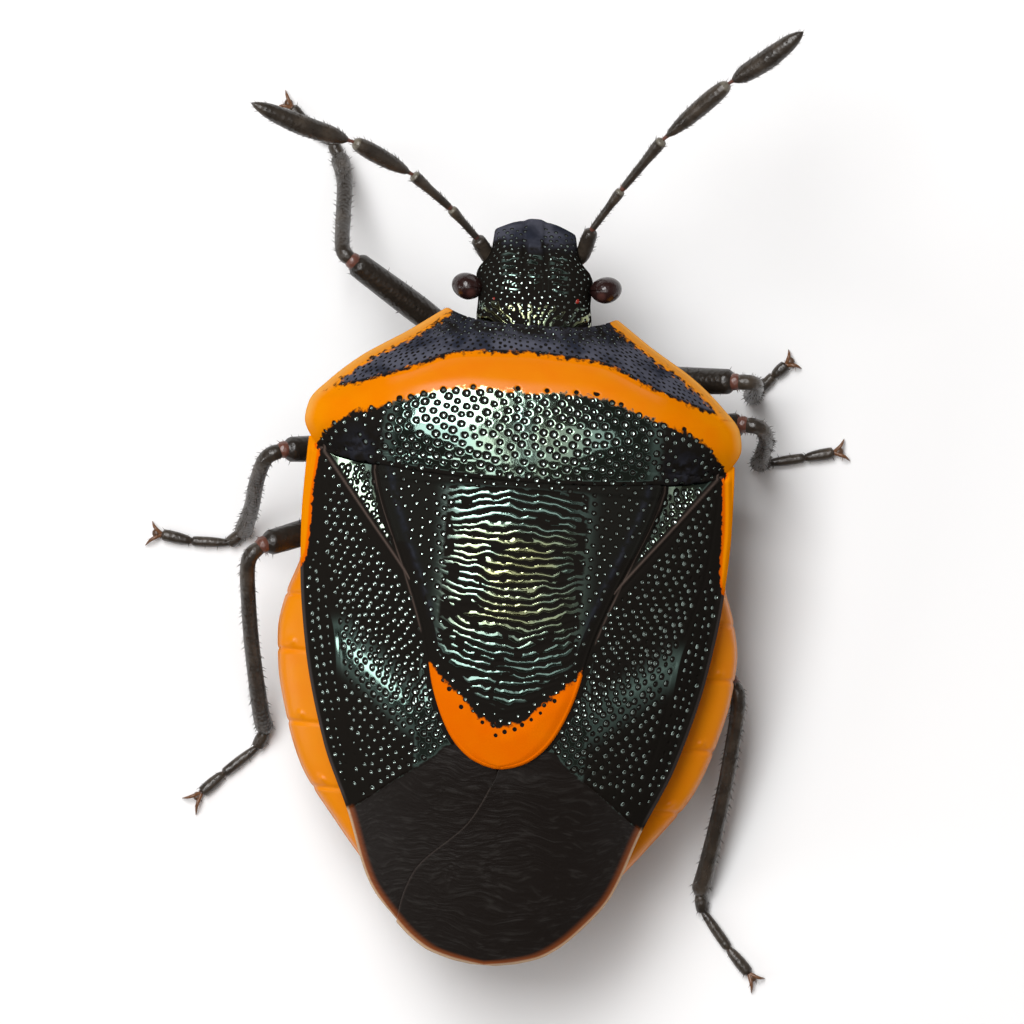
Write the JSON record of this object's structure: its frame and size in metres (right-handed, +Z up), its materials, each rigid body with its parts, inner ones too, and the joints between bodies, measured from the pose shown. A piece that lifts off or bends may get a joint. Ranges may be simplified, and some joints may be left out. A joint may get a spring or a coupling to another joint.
{
  "type": "shield bug model",
  "caption": "Still life-size shield bug, black with orange collar bands and side rims, standing on its feet with its feelers raised.",
  "frame": {"origin": "on the floor, under the centre of the bug's bounding box, legs and feelers included", "axes": "+Y from tail to head, +X to the bug's right side, +Z up"},
  "size_m": [0.0106, 0.0144, 0.0048],
  "materials": {
    "cuticle_black": "hard polished cuticle, black with a green metallic sheen and dense fine punctures",
    "cuticle_orange": "hard satin cuticle, bright orange",
    "wing": "leathery punctured fore wing, with a dull brown-black membrane behind",
    "limb": "satin brown-black cuticle with fine short bristles",
    "eye": "dark red-brown compound eye, glossy"
  },
  "bodies": {
    "root": {"head": "cuticle_black", "eye_left": "eye", "eye_right": "eye", "antenna_left": "limb", "antenna_right": "limb", "rostrum": "limb", "pronotum": "cuticle_orange", "scutellum": "cuticle_black", "forewing_left": "wing", "forewing_right": "wing", "thorax": "cuticle_black", "abdomen": "cuticle_black", "connexivum_left": "cuticle_orange", "connexivum_right": "cuticle_orange", "leg_front_left_femur": "limb", "leg_front_left_tibia": "limb", "leg_front_left_tarsus": "limb", "leg_middle_left_femur": "limb", "leg_middle_left_tibia": "limb", "leg_middle_left_tarsus": "limb", "leg_hind_left_femur": "limb", "leg_hind_left_tibia": "limb", "leg_hind_left_tarsus": "limb", "leg_front_right_femur": "limb", "leg_front_right_tibia": "limb", "leg_front_right_tarsus": "limb", "leg_middle_right_femur": "limb", "leg_middle_right_tibia": "limb", "leg_middle_right_tarsus": "limb", "leg_hind_right_femur": "limb", "leg_hind_right_tibia": "limb", "leg_hind_right_tarsus": "limb"}
  },
  "joints": []
}
